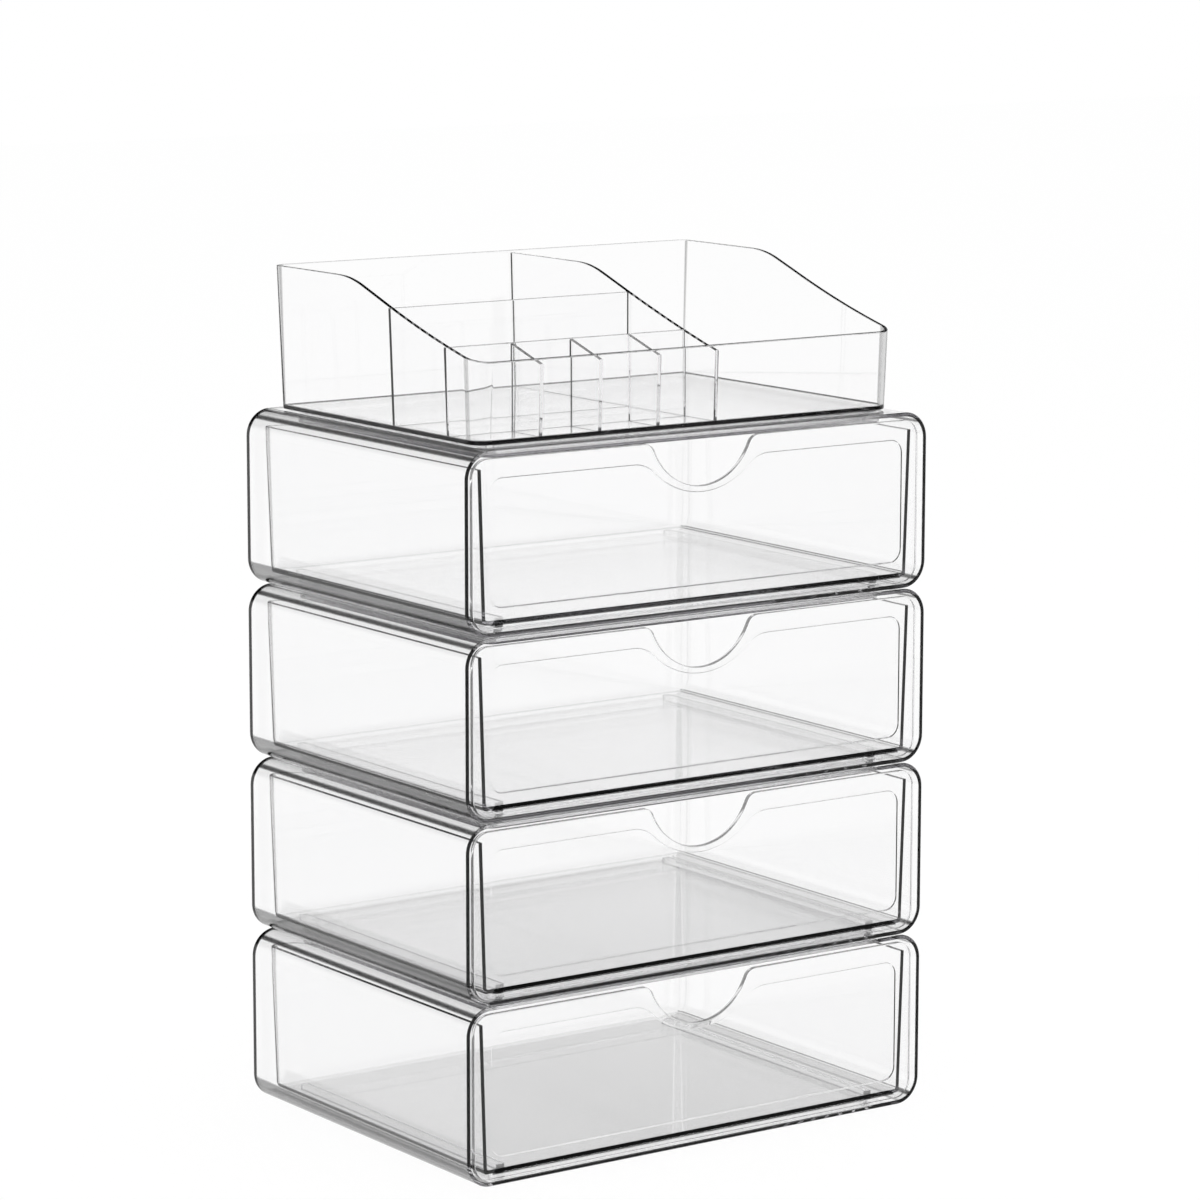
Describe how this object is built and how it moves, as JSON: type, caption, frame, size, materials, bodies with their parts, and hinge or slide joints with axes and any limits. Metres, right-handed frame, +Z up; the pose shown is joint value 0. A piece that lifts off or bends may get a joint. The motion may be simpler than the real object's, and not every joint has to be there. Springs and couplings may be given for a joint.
{
  "type": "acrylic makeup organizer drawers",
  "caption": "Clear stacking vanity organiser: open-fronted cases with pull-out drawers, scooped finger notches, and a divided tray with swept sides on top.",
  "frame": {"origin": "centre of the footprint at the lowest foot's underside", "axes": "+Z up, +X to the right seen from the front, -Y towards the front, the way the drawers pull out"},
  "size_m": [0.25, 0.179, 0.3901],
  "materials": {
    "case_clear": "polished clear",
    "drawer_clear": "polished clear",
    "tray_clear": "polished clear"
  },
  "bodies": {
    "case_1": {"case_1": "case_clear"},
    "case_2": {"case_2": "case_clear"},
    "case_3": {"case_3": "case_clear"},
    "case_4": {"case_4": "case_clear"},
    "drawer_1": {"drawer_1": "drawer_clear"},
    "drawer_2": {"drawer_2": "drawer_clear"},
    "drawer_3": {"drawer_3": "drawer_clear"},
    "drawer_4": {"drawer_4": "drawer_clear"},
    "organiser_tray": {"organiser_tray": "tray_clear"}
  },
  "joints": [
    {"name": "drawer_1_slide", "type": "slide", "parent": "case_1", "child": "drawer_1", "axis": [0, -1, 0], "range_m": [0, 0.14]},
    {"name": "drawer_2_slide", "type": "slide", "parent": "case_2", "child": "drawer_2", "axis": [0, -1, 0], "range_m": [0, 0.14]},
    {"name": "drawer_3_slide", "type": "slide", "parent": "case_3", "child": "drawer_3", "axis": [0, -1, 0], "range_m": [0, 0.14]},
    {"name": "drawer_4_slide", "type": "slide", "parent": "case_4", "child": "drawer_4", "axis": [0, -1, 0], "range_m": [0, 0.14]},
    {"name": "case_2_lift", "type": "slide", "parent": "case_1", "child": "case_2", "axis": [0, 0, 1], "range_m": [0, 0.03]},
    {"name": "case_3_lift", "type": "slide", "parent": "case_2", "child": "case_3", "axis": [0, 0, 1], "range_m": [0, 0.03]},
    {"name": "case_4_lift", "type": "slide", "parent": "case_3", "child": "case_4", "axis": [0, 0, 1], "range_m": [0, 0.03]},
    {"name": "tray_lift", "type": "slide", "parent": "case_4", "child": "organiser_tray", "axis": [0, 0, 1], "range_m": [0, 0.03]}
  ]
}
